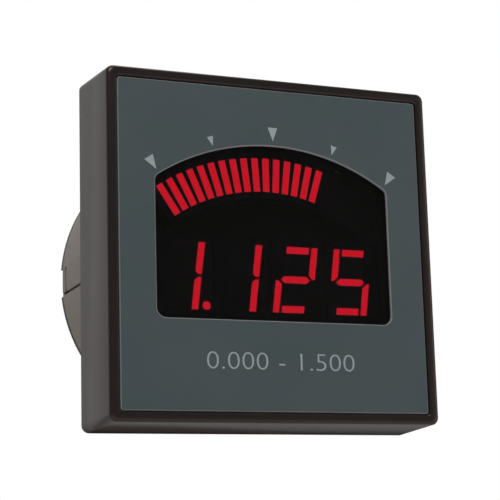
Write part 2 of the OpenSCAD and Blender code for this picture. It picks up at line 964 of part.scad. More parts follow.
// Standing on the power board, each with a groove round its foot
module filter_capacitors() {
    r = capacitor_d / 2;
    g = capacitor_groove;
    color([0.1, 0.12, 0.3])
    for (i = [0 : 1])
        translate([capacitor_x, main_board_back + capacitor_front + r + i * (capacitor_d + capacitor_gap),
                   power_board_z])
            rotate_extrude()
                polygon([[0, 0], [r, 0], [r, 3 * g], [r - g, 4 * g],
                         [r, 5 * g], [r, capacitor_h], [0, capacitor_h]]);
}

rectifier_w = 4;
rectifier_len = 9;
rectifier_h = 7;
rectifier_gap = 4;
regulator_w = 4.4;
regulator_len = 10;
regulator_h = 9;
regulator_tab_h = 6;
regulator_tab_t = 1.3;
regulator_hole_d = 3.6;
supply_parts_x = capacitor_x - capacitor_d / 2 - rectifier_gap - rectifier_w / 2;

module bridge_rectifier() {
    color([0.09, 0.09, 0.09])
    translate([supply_parts_x, main_board_back + capacitor_gap, power_board_z])
        block([-rectifier_w / 2, 0, 0], [rectifier_w / 2, rectifier_len, rectifier_h]);
}

// Flat package with a metal tab and a hole in the tab
module voltage_regulator() {
    half = regulator_w / 2;
    color([0.12, 0.12, 0.12])
    translate([supply_parts_x, main_board_back + 2 * capacitor_gap + rectifier_len, power_board_z])
        difference() {
            union() {
                block([-half, 0, 0], [half, regulator_len, regulator_h]);
                block([half - regulator_tab_t, 0, regulator_h - fit],
                      [half, regulator_len, regulator_h + regulator_tab_h]);
            }
            translate([0, regulator_len / 2, regulator_h + regulator_tab_h / 2])
                rotate([0, 90, 0])
                    cylinder(d = regulator_hole_d, h = regulator_w);
        }
}

// ---- Measuring circuit ----

ct_y = main_board_back + ct_size / 2;
ct_foot = power_board_z + transformer_h + ct_gap;
ct_z = ct_foot + ct_size / 2;
strap_foot_y = cover_y - terminal_boss_len - strap_t;

module current_transformer() {
    color([0.1, 0.25, 0.5])
    difference() {
        union() {
            block([-ct_w / 2, main_board_back, ct_foot], [ct_w / 2, ct_y, ct_foot + ct_size]);
            translate([-ct_w / 2, ct_y, ct_z])
                rotate([0, 90, 0])
                    cylinder(d = ct_size, h = ct_w);
        }
        translate([-ct_w, ct_y, ct_z])
            rotate([0, 90, 0])
                cylinder(d = ct_hole_d, h = 2 * ct_w);
    }
}

// Copper strap: through the transformer, back along both sides and out to the studs
module current_strap() {
    leg = ct_w / 2 + strap_gap;
    foot = terminal_half + strap_w / 2;
    front = ct_y - strap_t / 2;
    back = strap_foot_y + strap_t;
    color([0.8, 0.45, 0.25])
    difference() {
        translate([0, 0, ct_z - strap_w / 2])
            linear_extrude(strap_w)
                polygon([[-foot, back], [-foot, back - strap_t], [-leg - strap_t, back - strap_t],
                         [-leg - strap_t, front], [leg + strap_t, front], [leg + strap_t, back - strap_t],
                         [foot, back - strap_t], [foot, back], [leg, back],
                         [leg, front + strap_t], [-leg, front + strap_t], [-leg, back]]);
        for (s = [-1, 1])
            rod(s * terminal_half, ct_z, terminal_d + 2 * fit, strap_foot_y - over, back + over);
    }
}

// ---- Case base ----

snap_y = barrel_len - snap_back;
land_shift = 0.7;
land_r = sqrt(pow(barrel_r, 2) - pow(land_w / 2, 2));
case_head_y = -screw_head_h - case_screw_sink;

// Children placed at each snap window, where local X points outwards
module at_snaps() {
    for (i = [0 : snap_count - 1])
        rotate([0, 180 + i * 360 / snap_count, 0])
            children();
}

module snap_cuts() {
    inside = bore_r - over;
    outside = barrel_r + over;
    window_back = snap_y + snap_window_len;
    // flat land between the window and the barrel's end
    translate([0, 0, land_shift])
        block([land_r, window_back, -land_w / 2], [outside, barrel_len + over, land_w / 2]);
    // window that the cover's hook springs into
    block([inside, snap_y, -snap_window_w / 2], [outside, window_back, snap_window_w / 2]);
    // relief slot along the barrel
    translate([0, 0, snap_window_w / 2])
        block([inside, barrel_len - relief_len, 0], [outside, barrel_len + over, slot_w]);
}

flange_corner_r = 1;

module case_base() {
    edge = 0.3;
    rib_t = 2;
    rib_w = 3;
    color([0.42, 0.4, 0.38])
    difference() {
        union() {
            slab(-flange_t, 0)
                polygon(rounded_square(flange_half, flange_corner_r));
            // barrel with a broken edge at its end
            rotate([-90, 0, 0])
                rotate_extrude()
                    polygon([[bore_r - over, -flange_t], [barrel_r, -flange_t], [barrel_r, barrel_len - edge],
                             [barrel_r - edge, barrel_len], [bore_r - over, barrel_len]]);
        }
        // bore, leaving four ribs that stop the rear cover
        difference() {
            rod(0, 0, 2 * bore_r, -flange_t - over, barrel_len + over);
            for (i = [0 : 3])
                rotate([0, 45 + 90 * i, 0])
                    block([bore_r - rib_t, -flange_t - 2 * over, -rib_w / 2],
                          [bore_r + over, cover_y, rib_w / 2]);
        }
        at_snaps()
            snap_cuts();
        four_corners(stud_half, stud_half)
            rod(0, 0, stud_shoulder_d + 2 * fit, -flange_t - over, over);
        four_corners(case_screw_x, case_screw_z) {
            rod(0, 0, screw_d + screw_play, -flange_t - over, over);
            rod(0, 0, screw_head_d + screw_play, case_head_y, over);
        }
    }
}

module case_screws() {
    color([0.7, 0.7, 0.72])
    four_corners(case_screw_x, case_screw_z)
        pan_screw(0, 0, case_head_y, case_screw_len);
}

// Head in front of the flange, shoulder through it, threaded shank behind
module mounting_studs() {
    head_t = 2;
    point = 0.6;
    color([0.72, 0.72, 0.7])
    four_corners(stud_half, stud_half)
        rotate([-90, 0, 0])
            rotate_extrude()
                polygon([[0, -flange_t - head_t], [stud_head_d / 2, -flange_t - head_t],
                         [stud_head_d / 2, -flange_t], [stud_shoulder_d / 2, -flange_t],
                         [stud_shoulder_d / 2, 0], [stud_d / 2, 0],
                         [stud_d / 2, stud_len - point], [stud_d / 2 - point, stud_len], [0, stud_len]]);
}

// ---- Rear cover and terminals ----

terminal_boss_d = washer_d + 1;
supply_w = supply_ways * supply_pitch + 2;

module rear_cover() {
    cover_r = bore_r - cover_gap;
    rim_back = barrel_len + cover_rim_t;
    hook_play = 0.1;
    hook_reach = barrel_wall - 1.2;
    nib_reach = barrel_wall - 0.3;
    nib_w = 1;
    finger_w = snap_window_w - 0.6;
    finger_y = snap_y - 1;
    key_z = snap_window_w / 2 + hook_play;
    color([0.12, 0.12, 0.12])
    difference() {
        union() {
            rod(0, 0, 2 * cover_r, cover_y, barrel_len);
            // rim on the barrel's end, open at the snap windows
            difference() {
                rod(0, 0, 2 * barrel_r, barrel_len, rim_back);
                rod(0, 0, 2 * (bore_r - cover_rim_w), barrel_len - over, rim_back + over);
                at_snaps()
                    translate([0, 0, land_shift])
                        block([cover_r, barrel_len - over, -land_w / 2],
                              [barrel_r + over, rim_back + over, land_w / 2]);
            }
            for (s = [-1, 1])
                rod(s * terminal_half, ct_z, terminal_boss_d, cover_y - terminal_boss_len, cover_y + fit);
            // fingers along the bore, each with a hook in its snap window
            at_snaps() {
                intersection() {
                    block([cover_r - finger_t, finger_y, -finger_w / 2], [bore_r, cover_y + fit, finger_w / 2]);
                    rod(0, 0, 2 * cover_r, finger_y, cover_y + fit);
                }
                block([cover_r - finger_t / 2, snap_y + hook_play, -finger_w / 2],
                      [cover_r + hook_reach, snap_y + snap_window_len - hook_play, finger_w / 2]);
                // nib at the hook's end, by which the finger is pressed in
                block([cover_r - finger_t / 2, snap_y + hook_play, finger_w / 2 - nib_w],
                      [cover_r + nib_reach, snap_y + snap_window_len - hook_play, finger_w / 2]);
                // key in the end of the relief slot
                block([cover_r - over, cover_y, key_z],
                      [cover_r + nib_reach, barrel_len, key_z + slot_w - 2 * hook_play]);
            }
        }
        for (s = [-1, 1])
            rod(s * terminal_half, ct_z, terminal_d + 2 * fit, cover_y - terminal_boss_len - over,
                barrel_len + over);
        // way in to the trimmers
        at_trimmers()
            rod(0, 0, trimmer_way_d, cover_y - over, barrel_len + over);
        // cut-out for the supply terminals
        block([-supply_w / 2 - cover_gap, cover_y - over, power_board_z - cover_gap],
              [supply_w / 2 + cover_gap, barrel_len + over, power_board_z + supply_h + cover_gap]);
    }
}

shoulder_y = barrel_len + washer_t;
shoulder_back = shoulder_y + terminal_nut_h;
inner_nut_y = strap_foot_y - terminal_nut_h;

// Threaded both ways from a hexagonal shoulder that bears on the cover's washer
module current_studs() {
    point = 0.8;
    stud_front = inner_nut_y - point;
    stud_back = shoulder_back + terminal_free;
    color([0.8, 0.66, 0.36])
    for (s = [-1, 1]) {
        hex_bar(s * terminal_half, ct_z, terminal_af, shoulder_y, shoulder_back);
        translate([s * terminal_half, 0, ct_z])
            rotate([-90, 0, 0])
                rotate_extrude()
                    polygon([[0, stud_front], [terminal_d / 2, stud_front], [terminal_d / 2, stud_back - point],
                             [terminal_d / 2 - point, stud_back], [0, stud_back]]);
    }
}

module current_inner_nuts() {
    color([0.8, 0.66, 0.36])
    for (s = [-1, 1])
        difference() {
            hex_bar(s * terminal_half, ct_z, terminal_af, inner_nut_y, strap_foot_y);
            rod(s * terminal_half, ct_z, terminal_d + 2 * fit, inner_nut_y - over, strap_foot_y + over);
        }
}

module current_washers() {
    color([0.75, 0.75, 0.72])
    for (s = [-1, 1])
        difference() {
            rod(s * terminal_half, ct_z, washer_d, barrel_len, shoulder_y);
            rod(s * terminal_half, ct_z, terminal_d + 2 * fit, barrel_len - over, shoulder_y + over);
        }
}

function supply_x(i) = (i - (supply_ways - 1) / 2) * supply_pitch;
supply_y = barrel_len - supply_inset;
supply_back = supply_y + supply_len;
supply_screw_edge = 5;
supply_screw_y = supply_back - supply_screw_edge;
supply_screw_len = 4;
wire_way_len = 9;
wire_way_z = power_board_z + supply_h / 3;
clamp_t = 0.8;

// Moulded block with a square wire way behind and a screw well above for each terminal
module supply_terminal_block() {
    color([0.1, 0.42, 0.22])
    difference() {
        block([-supply_w / 2, supply_y, power_board_z], [supply_w / 2, supply_back, power_board_z + supply_h]);
        for (i = [0 : supply_ways - 1])
            translate([supply_x(i), 0, wire_way_z]) {
                block([-wire_way / 2, supply_back - wire_way_len, -wire_way / 2],
                      [wire_way / 2, supply_back + over, wire_way / 2]);
                translate([0, supply_screw_y, 0])
                    cylinder(d = supply_screw_d + 2 * fit, h = supply_h);
            }
    }
}

module supply_terminal_screws() {
    slot_t = 0.6;
    color([0.72, 0.72, 0.72])
    for (i = [0 : supply_ways - 1])
        translate([supply_x(i), supply_screw_y, wire_way_z + wire_way / 2])
            difference() {
                cylinder(d = supply_screw_d, h = supply_screw_len);
                block([-slot_t / 2, -supply_screw_d, supply_screw_len - slot_t],
                      [slot_t / 2, supply_screw_d, supply_screw_len + over]);
            }
}

module supply_terminal_clamps() {
    color([0.75, 0.75, 0.72])
    for (i = [0 : supply_ways - 1])
        translate([supply_x(i), 0, wire_way_z - wire_way / 2])
            block([-wire_way / 2 + fit, supply_back - wire_way_len + fit, 0],
                  [wire_way / 2 - fit, supply_back - clamp_t, clamp_t]);
}

// ---- Drawing ----

bezel();
dial_plate();
scale_marks();
display_filter();
bargraph_housing();
lit_bars();
dark_bars();
bar_emitters();
digit_housing(1);  // digit_housing_1
digit_housing(2);  // digit_housing_2
digit_housing(3);  // digit_housing_3
digit_housing(4);  // digit_housing_4
lit_segments(1);  // lit_segments_1
lit_segments(2);  // lit_segments_2
lit_segments(3);  // lit_segments_3
lit_segments(4);  // lit_segments_4
dark_segments(1);  // dark_segments_1
dark_segments(2);  // dark_segments_2
dark_segments(3);  // dark_segments_3
dark_segments(4);  // dark_segments_4
lit_point();
dark_points();
display_board();
display_board_screws();
driver_chips();
segment_resistors();
board_socket();
board_pins();
board_standoffs();
main_board();
main_board_screws();
microcontroller();
converter_chip();
calibration_trimmers();
power_board();
transformer_core();
transformer_winding();
filter_capacitors();
bridge_rectifier();
voltage_regulator();
current_transformer();
current_strap();
case_base();
case_screws();
mounting_studs();
rear_cover();
current_studs();
current_inner_nuts();
current_washers();
supply_terminal_block();
supply_terminal_screws();
supply_terminal_clamps();
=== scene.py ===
"""Digital panel meter: square black bezel, grey dial plate, red bar graph and digits, round barrel behind.

Metres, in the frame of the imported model: X to the right, Y backwards into the panel, Z up.
"""
import math

import bmesh
import bpy
import numpy as np
from mathutils import Matrix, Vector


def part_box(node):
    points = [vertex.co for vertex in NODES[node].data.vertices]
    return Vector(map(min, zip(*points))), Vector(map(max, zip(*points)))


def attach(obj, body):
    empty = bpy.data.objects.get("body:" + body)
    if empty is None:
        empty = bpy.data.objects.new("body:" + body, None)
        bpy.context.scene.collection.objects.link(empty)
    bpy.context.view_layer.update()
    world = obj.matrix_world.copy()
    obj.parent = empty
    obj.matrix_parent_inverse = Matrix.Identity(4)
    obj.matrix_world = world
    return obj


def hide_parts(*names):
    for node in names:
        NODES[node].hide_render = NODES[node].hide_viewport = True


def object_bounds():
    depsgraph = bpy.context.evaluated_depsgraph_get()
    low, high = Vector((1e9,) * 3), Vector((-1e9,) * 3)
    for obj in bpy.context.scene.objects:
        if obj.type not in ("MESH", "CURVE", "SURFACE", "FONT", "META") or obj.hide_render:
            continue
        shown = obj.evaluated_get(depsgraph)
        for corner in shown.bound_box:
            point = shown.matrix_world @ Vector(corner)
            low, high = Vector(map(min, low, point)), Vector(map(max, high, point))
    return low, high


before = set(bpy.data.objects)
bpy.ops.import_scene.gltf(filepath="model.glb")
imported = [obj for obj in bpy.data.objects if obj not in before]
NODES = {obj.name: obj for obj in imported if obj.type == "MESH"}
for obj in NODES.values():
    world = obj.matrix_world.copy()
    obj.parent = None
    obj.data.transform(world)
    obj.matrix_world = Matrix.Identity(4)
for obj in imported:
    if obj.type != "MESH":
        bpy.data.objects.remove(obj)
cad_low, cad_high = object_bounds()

MM = 0.001
Y = 1
WELD = 2e-6  # metres: points of a CAD mesh closer than this are one
FLAT = math.radians(0.6)  # faces that meet at less than this are one
SCENE = bpy.context.scene
SCENE.view_settings.view_transform = "Standard"


# ---- Camera ----

# Low at the left of the meter, looking up at it, with a long lens
CAMERA_PLACE = (-0.19466, -0.47332, -0.09854)
CAMERA_RIGHT = np.array([0.92535, -0.37812, -0.02752])
CAMERA_AHEAD = np.array([0.37585, 0.90548, 0.19708])

camera = bpy.data.objects.new("camera", bpy.data.cameras.new("camera"))
SCENE.collection.objects.link(camera)
SCENE.camera = camera
camera.data.lens = 114.316
camera.data.sensor_width = 36
axes = np.column_stack([CAMERA_RIGHT, np.cross(CAMERA_RIGHT, CAMERA_AHEAD), -CAMERA_AHEAD])
camera.matrix_world = Matrix.Translation(CAMERA_PLACE) @ Matrix(axes.tolist()).to_4x4()


# ---- Shader maths ----

class Value:
    """A shader socket that plain arithmetic works on; each operator adds one Math node."""

    def __init__(self, paint, socket):
        self.paint = paint
        self.socket = socket

    def _math(self, operation, *values):
        return self.paint.node("Math", dict(operation=operation), *values)

    def __add__(self, other):
        return self._math("ADD", self, other)

    def __sub__(self, other):
        return self._math("SUBTRACT", self, other)

    def __rsub__(self, other):
        return self._math("SUBTRACT", other, self)

    def __mul__(self, other):
        return self._math("MULTIPLY", self, other)

    def __truediv__(self, other):
        return self._math("DIVIDE", self, other)

    def __pow__(self, other):
        return self._math("POWER", self, other)

    def __abs__(self):
        return self._math("ABSOLUTE", self)

    __radd__ = __add__

    def rise(self, start, end):
        """0 below start, 1 above end, a smooth step between them."""
        return self.paint.node("MapRange", dict(interpolation_type="SMOOTHSTEP"), self, start, end)


class Paint:
    """One material: a Principled shader and the nodes that vary it over the surface."""

    def __init__(self, name, colour, roughness, slot=None, **constant):
        self.material = bpy.data.materials.new(name)
        self.material.use_nodes = True
        self.slot = slot
        self.tree = self.material.node_tree
        self.shader = self.tree.nodes["Principled BSDF"]
        self.shader.inputs["Roughness"].default_value = roughness
        self.shader.inputs["Base Color"].default_value = (*colour, 1)
        for socket, value in constant.items():
            self.shader.inputs[socket.replace("_", " ")].default_value = value
        self.coordinates = None

    def node(self, kind, settings, *values, out=0, **named):
        """Adds a node; settings come first, then the values or links of its sockets."""
        made = self.tree.nodes.new("ShaderNode" + kind)
        for setting, value in settings.items():
            setattr(made, setting, value)
        for key, value in [*enumerate(values), *named.items()]:
            socket = made.inputs[key if isinstance(key, int) else key.replace("_", " ")]
            if isinstance(value, Value):
                self.tree.links.new(value.socket, socket)
            elif value is not None:
                socket.default_value = value
        return Value(self, made.outputs[out])

    def feed(self, **links):
        for socket, value in links.items():
            self.tree.links.new(value.socket, self.shader.inputs[socket.replace("_", " ")])

    def place(self):
        """Object coordinates in metres."""
        if self.coordinates is None:
            self.coordinates = self.node("TexCoord", {}, out=3)
        return self.coordinates

    def axis(self, index):
        return self.node("SeparateXYZ", {}, self.place(), out=index)

    def noise(self, size, detail=3.0):
        """Noise from 0 to 1 whose lumps are about size metres across."""
        place = self.node("Mapping", {}, self.place(), None, None, (1 / size,) * 3)
        return self.node("TexNoise", {}, Vector=place, Scale=1.0, Detail=detail, Roughness=0.5)

    def blend(self, factor, low, high):
        """Colour that runs from low to high as factor goes from 0 to 1."""
        mix = self.tree.nodes.new("ShaderNodeMix")
        mix.data_type = "RGBA"
        self.tree.links.new(factor.socket, mix.inputs[0])
        for socket, colour in ((mix.inputs[6], low), (mix.inputs[7], high)):
            if isinstance(colour, Value):
                self.tree.links.new(colour.socket, socket)
            else:
                socket.default_value = (*colour, 1)
        return Value(self, mix.outputs[2])

    def bump(self, height, distance, strength=1.0):
        """Bump from a height of 0 to 1, distance metres deep."""
        bump = self.node("Bump", {}, Strength=strength, Distance=distance, Height=height)
        self.feed(Normal=bump)


def shade(colour, factor):
    return tuple(c * factor for c in colour)


# ---- Finishes ----

BLACK = (0.022, 0.019, 0.018)
# Warm tint on the black moulding's reflections: a painted reflection colour that stands in for warm light
# round the meter
WARM_SHEEN = (1.0, 0.72, 0.66)


def moulded(name, colour, slot, roughness, tone=0.12):
    """Moulded plastic: fine spark-eroded grain, cloudy sheen, tone that wanders by the given share."""
    p = Paint(name, colour, roughness, slot)
    cloud = p.noise(18 * MM, 4)
    fine = p.noise(0.25 * MM, 2)
    p.feed(Base_Color=p.blend(cloud, shade(colour, 1 - tone), shade(colour, 1 + tone)),
           Roughness=roughness + (cloud - 0.5) * 0.12 + (fine - 0.5) * 0.1)
    p.bump(fine, 0.012 * MM)
    return p


def bezel_finish():
    """Black moulding: polished front rim, fine grain on the sides, faint cloudy tone."""
    # Specular Tint gives the moulding's reflections a painted warm colour
    p = Paint("bezel_black_moulding", BLACK, 0.3, "bezel_black", Specular_Tint=(*WARM_SHEEN, 1))
    cloud = p.noise(20 * MM, 4)
    grain = p.noise(0.3 * MM, 2)
    front = 1 - p.axis(Y).rise(cad_low[1] + 0.4 * MM, cad_low[1] + 1.4 * MM)
    p.feed(Base_Color=p.blend(cloud, shade(BLACK, 0.85), (0.027, 0.022, 0.020)),
           Roughness=0.36 + (cloud - 0.5) * 0.1 - front * 0.16)
    p.bump(grain * (1 - front), 0.01 * MM)
    return p


def plate_finish():
    """Grey satin lacquer on sheet: faint blotches, very fine grain, a pale bevelled edge that is partly
    bare cut metal and partly a painted highlight.
    """
    p = Paint("dial_plate_lacquer", (0.066, 0.080, 0.085), 0.5, "dial_grey")
    blotch = p.noise(13 * MM, 3)
    wide = p.noise(30 * MM, 2)
    fine = p.noise(0.16 * MM, 2)
    lacquer = p.blend(blotch.rise(0.35, 0.65), (0.062, 0.090, 0.092), (0.066, 0.087, 0.104))
    lacquer = p.blend(wide.rise(0.3, 0.7), lacquer, (0.072, 0.095, 0.101))
    # The bevel round the window is painted pale: partly the bare cut edge, partly a painted highlight of
    # the light it catches
    edge = p.axis(Y).rise(plate_front + 0.04 * MM, plate_front + 0.1 * MM)
    p.feed(Base_Color=p.blend(edge, lacquer, (0.30, 0.33, 0.33)),
           Roughness=0.5 + (fine - 0.5) * 0.12)
    p.bump(fine, 0.004 * MM)
    return p


def ink_finish():
    """Screen-printed pale ink with a slightly uneven film."""
    colour = (0.42, 0.46, 0.48)
    p = Paint("printed_ink", colour, 0.55, "mark_ink")
    film = p.noise(0.9 * MM, 3)
    p.feed(Base_Color=p.blend(film, shade(colour, 0.86), shade(colour, 1.08)))
    p.bump(film, 0.004 * MM)
    return p


def filter_finish():
    """Smoked acrylic that lets part of the light behind it through."""
    p = Paint("smoked_acrylic", (0.006, 0.0055, 0.005), 0.2, "smoked_filter", Alpha=0.55, IOR=1.3)
    haze = p.noise(12 * MM, 4)
    p.feed(Roughness=0.16 + haze * 0.12,
           Base_Color=p.blend(haze, (0.0050, 0.0045, 0.0042), (0.0075, 0.0068, 0.0062)))
    return p


GLOW_EDGE = 0.5


def glow_finish():
    """Lit faces and a painted halo of spilt red light round them, from the piece's own glow attribute.

    The attribute is 1 in the core of a segment, GLOW_EDGE at its edge and 0 where the halo ends.
    """
    p = Paint("lit_red", (0.0, 0.0, 0.0), 0.5, "lit_red", Emission_Strength=1.0)
    glow = p.node("Attribute", dict(attribute_name="glow"), out=2)
    uneven = p.noise(3.5 * MM, 2)
    # Painted glow: the red light that spills from the segments onto the housing round them
    halo = p.blend((glow / GLOW_EDGE) ** 2.0, (0.0, 0.0, 0.0), (0.085, 0.0, 0.002))
    body = p.blend(glow.rise(GLOW_EDGE, 1.0), (1.25, 0.055, 0.14), (2.7, 0.014, 0.055))
    body = p.blend(uneven.rise(0.35, 0.7), body, (2.4, 0.025, 0.085))
    p.feed(Emission_Color=p.blend(glow.rise(GLOW_EDGE, GLOW_EDGE + 0.002), halo, body))
    return p


def guide_finish(name, colour, slot):
    """Tinted light guide of cast resin, a little cloudy."""
    p = Paint(name, colour, 0.4, slot)
    cloud = p.noise(2 * MM, 3)
    p.feed(Base_Color=p.blend(cloud, shade(colour, 0.8), shade(colour, 1.2)))
    p.bump(cloud, 0.01 * MM)
    return p


def metal(name, colour, slot, roughness=0.3):
    """Plated or bare metal with fine tool marks and slightly dulled patches."""
    p = Paint(name, colour, roughness, slot, Metallic=1.0)
    marks = p.noise(0.4 * MM, 3)
    patch = p.noise(4 * MM, 3)
    p.feed(Base_Color=p.blend(patch, shade(colour, 0.82), shade(colour, 1.06)),
           Roughness=roughness + (marks - 0.5) * 0.15 + (patch - 0.5) * 0.15)
    p.bump(marks, 0.006 * MM)
    return p


def board(name, colour, slot):
    """Circuit board: glossy solder mask over a woven base and narrow traces."""
    p = Paint(name, colour, 0.35, slot)
    weave = p.noise(0.4 * MM, 1)
    upright = p.node("Mapping", {}, p.place(), None, (math.radians(90), 0, 0), (400, 400, 400))
    trace = p.node("TexBrick", dict(offset=0.37), Vector=upright, out=1, Scale=1.0,
                   Mortar_Size=0.12, Brick_Width=2.4, Row_Height=0.7)
    p.feed(Base_Color=p.blend(trace * 0.7, shade(colour, 0.8), shade(colour, 1.9)),
           Roughness=0.32 + (weave - 0.5) * 0.1)
    p.bump(trace + weave * 0.3, 0.02 * MM)
    return p


def laminations():
    """Edge of a stack of steel sheets: fine dark lines across Y, varnished."""
    p = Paint("lamination_steel", (0.30, 0.30, 0.31), 0.4, "lamination_steel", Metallic=1.0)
    sheets_per_metre = 2000.0
    sheets = p.node("Math", dict(operation="FRACT"), p.axis(Y) * sheets_per_metre)
    line = abs(sheets - 0.5).rise(0.3, 0.48)
    patch = p.noise(4 * MM, 3)
    steel = p.blend(patch, (0.24, 0.24, 0.25), (0.36, 0.36, 0.37))
    p.feed(Base_Color=p.blend(line, steel, (0.05, 0.05, 0.05)), Roughness=0.35 + patch * 0.2)
    p.bump(1 - line, 0.04 * MM)
    return p


# ---- Meshes ----

def add_piece(name, mesh, paint):
    """A new piece on the one body, in the given finish."""
    mesh.materials.clear()
    mesh.materials.append(paint.material)
    made = bpy.data.objects.new(name, mesh)
    SCENE.collection.objects.link(made)
    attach(made, "root")
    return made


def refine(node, paint, angle=35, bevel=0.0, segments=2):
    """Stands a copy of a CAD node in for it, with smooth shading and, if asked, softened edges.

    The copy's loose triangles are merged and its flat faces joined, so that a Bevel modifier
    rounds only the true edges, each by the given width.
    """
    mesh = bpy.data.meshes.new(node + "_finished")
    work = bmesh.new()
    work.from_mesh(NODES[node].data)
    bmesh.ops.remove_doubles(work, verts=work.verts, dist=WELD)
    bmesh.ops.dissolve_limit(work, angle_limit=FLAT, verts=work.verts, edges=work.edges)
    work.to_mesh(mesh)
    work.free()
    mesh.polygons.foreach_set("use_smooth", np.ones(len(mesh.polygons), bool))
    mesh.set_sharp_from_angle(angle=math.radians(angle))
    made = add_piece(node + "_finished", mesh, paint)
    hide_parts(node)
    if bevel:
        soften = made.modifiers.new("softened_edges", "BEVEL")
        soften.width = bevel
        soften.segments = segments
        soften.limit_method = "ANGLE"
        soften.angle_limit = math.radians(angle)
        soften.harden_normals = True


def dress(paint, *nodes):
    """Gives CAD nodes their finish."""
    for name in nodes:
        data = NODES[name].data
        data.materials.clear()
        data.materials.append(paint.material)


def front_loops(node):
    """Closed outlines, in X and Z, of a node's faces that lie furthest forward."""
    work = bmesh.new()
    work.from_mesh(NODES[node].data)
    bmesh.ops.remove_doubles(work, verts=work.verts, dist=WELD)
    low = min(v.co.y for v in work.verts)
    bmesh.ops.delete(work, geom=[v for v in work.verts if v.co.y > low + 0.01 * MM], context="VERTS")
    bmesh.ops.dissolve_limit(work, angle_limit=FLAT, verts=work.verts, edges=work.edges)
    loops = [np.array([[v.co.x, v.co.z] for v in face.verts]) for face in work.faces]
    work.free()
    return loops, low


def turn_of(loop):
    """1 where the outline runs anticlockwise, -1 where it runs clockwise, by the sign of its area."""
    x, z = loop.T
    return np.sign(np.sum(x * np.roll(z, -1) - z * np.roll(x, -1)))


def spread(loop, distance):
    """The outline moved outwards by distance, each corner along its mitre."""
    edge = np.roll(loop, -1, axis=0) - loop
    edge /= np.linalg.norm(edge, axis=1)[:, None]
    normal = np.stack([edge[:, 1], -edge[:, 0]], axis=1) * turn_of(loop)
    before = np.roll(normal, 1, axis=0)
    share = 1 + np.sum(normal * before, axis=1)
    return loop + distance * (normal + before) / share[:, None]


def lit_faces(name, paint, nodes, core, halo):
    """A thin face over each lit shape: bright core, dimmer edge, and a painted halo of spilt light that
    dies away.

    Five rings follow each outline, from halo metres outside it to core metres inside it,
    and the piece's glow attribute rises from ring to ring.
    """
    lift = 0.03 * MM
    points, faces, glow = [], [], []
    start = 0
    for node in nodes:
        loops, front = front_loops(node)
        for loop in loops:
            rings = [(spread(loop, halo), 0.0), (spread(loop, halo / 3), 0.28), (loop, GLOW_EDGE - 0.01),
                     (loop, GLOW_EDGE + 0.01), (spread(loop, -core), 1.0)]
            count = len(loop)
            for ring, level in rings:
                points.append(np.column_stack([ring[:, 0], np.full(count, front - lift), ring[:, 1]]))
                glow += [level] * count
            order = 1 if turn_of(loop) > 0 else -1
            index = start + np.arange(len(rings) * count).reshape(len(rings), count)
            after = np.roll(index, -1, axis=1)
            quads = np.stack([index[:-1], after[:-1], after[1:], index[1:]], axis=-1).reshape(-1, 4)
            faces += [quad[::order].tolist() for quad in quads]
            faces.append(index[-1][::order].tolist())
            start += len(rings) * count
    mesh = bpy.data.meshes.new(name)
    mesh.from_pydata(np.concatenate(points).tolist(), [], faces)
    mesh.validate()
    mesh.update()
    layer = mesh.attributes.new("glow", "FLOAT", "POINT")
    layer.data.foreach_set("value", np.asarray(glow, np.float32))
    mesh.polygons.foreach_set("use_smooth", np.zeros(len(mesh.polygons), bool))
    add_piece(name, mesh, paint)


def text_piece(name, words, paint, height, width, centre, y, slim):
    """Plain numbers as a thin film that faces forwards, height and width metres over all.

    slim is how far each stroke's outline is moved, as a share of the letter size.
    """
    film = 0.04 * MM
    curve = bpy.data.curves.new(name, "FONT")
    curve.body = words
    curve.size = 1.0
    curve.align_x = "CENTER"
    curve.extrude = 0.5
    curve.offset = slim
    curve.resolution_u = 4
    shown = bpy.data.objects.new(name, curve)
    SCENE.collection.objects.link(shown)
    mesh = bpy.data.meshes.new_from_object(shown.evaluated_get(bpy.context.evaluated_depsgraph_get()))
    bpy.data.objects.remove(shown)
    co = np.empty(len(mesh.vertices) * 3)
    mesh.vertices.foreach_get("co", co)
    co = co.reshape(-1, 3)
    low, high = co.min(0), co.max(0)
    co -= (low + high) / 2
    across, up = (co / (high - low)).T[:2]
    place = np.column_stack([centre[0] + across * width, y - co[:, 2] * film, centre[1] + up * height])
    mesh.vertices.foreach_set("co", place.ravel())
    mesh.update()
    add_piece(name, mesh, paint)


# ---- Stage ----

FLOOR_LIGHT = 0.55


def floor_finish():
    """White floor that keeps its shadows; the camera also sees a little light of its own."""
    material = bpy.data.materials.new("floor_white")
    material.use_nodes = True
    tree = material.node_tree
    shader = tree.nodes["Principled BSDF"]
    shader.inputs["Base Color"].default_value = (0.85, 0.85, 0.85, 1)
    shader.inputs["Roughness"].default_value = 0.9
    shader.inputs["Specular IOR Level"].default_value = 0.0
    shader.inputs["Emission Color"].default_value = (1, 1, 1, 1)
    path = tree.nodes.new("ShaderNodeLightPath")
    level = tree.nodes.new("ShaderNodeMath")
    level.operation = "MULTIPLY"
    level.inputs[1].default_value = FLOOR_LIGHT
    tree.links.new(path.outputs["Is Camera Ray"], level.inputs[0])
    tree.links.new(level.outputs[0], shader.inputs["Emission Strength"])
    return material


FLOOR_Z = -0.33
FLOOR_HALF = 30.0
floor_mesh = bpy.data.meshes.new("floor")
floor_corners = [(x * FLOOR_HALF, y * FLOOR_HALF, FLOOR_Z) for x, y in ((-1, -1), (1, -1), (1, 1), (-1, 1))]
floor_mesh.from_pydata(floor_corners, [], [(0, 1, 2, 3)])
floor = bpy.data.objects.new("floor", floor_mesh)
SCENE.collection.objects.link(floor)
floor_mesh.materials.append(floor_finish())

world = bpy.data.worlds.new("studio")
SCENE.world = world
world.use_nodes = True
sky = world.node_tree
sky.nodes.clear()


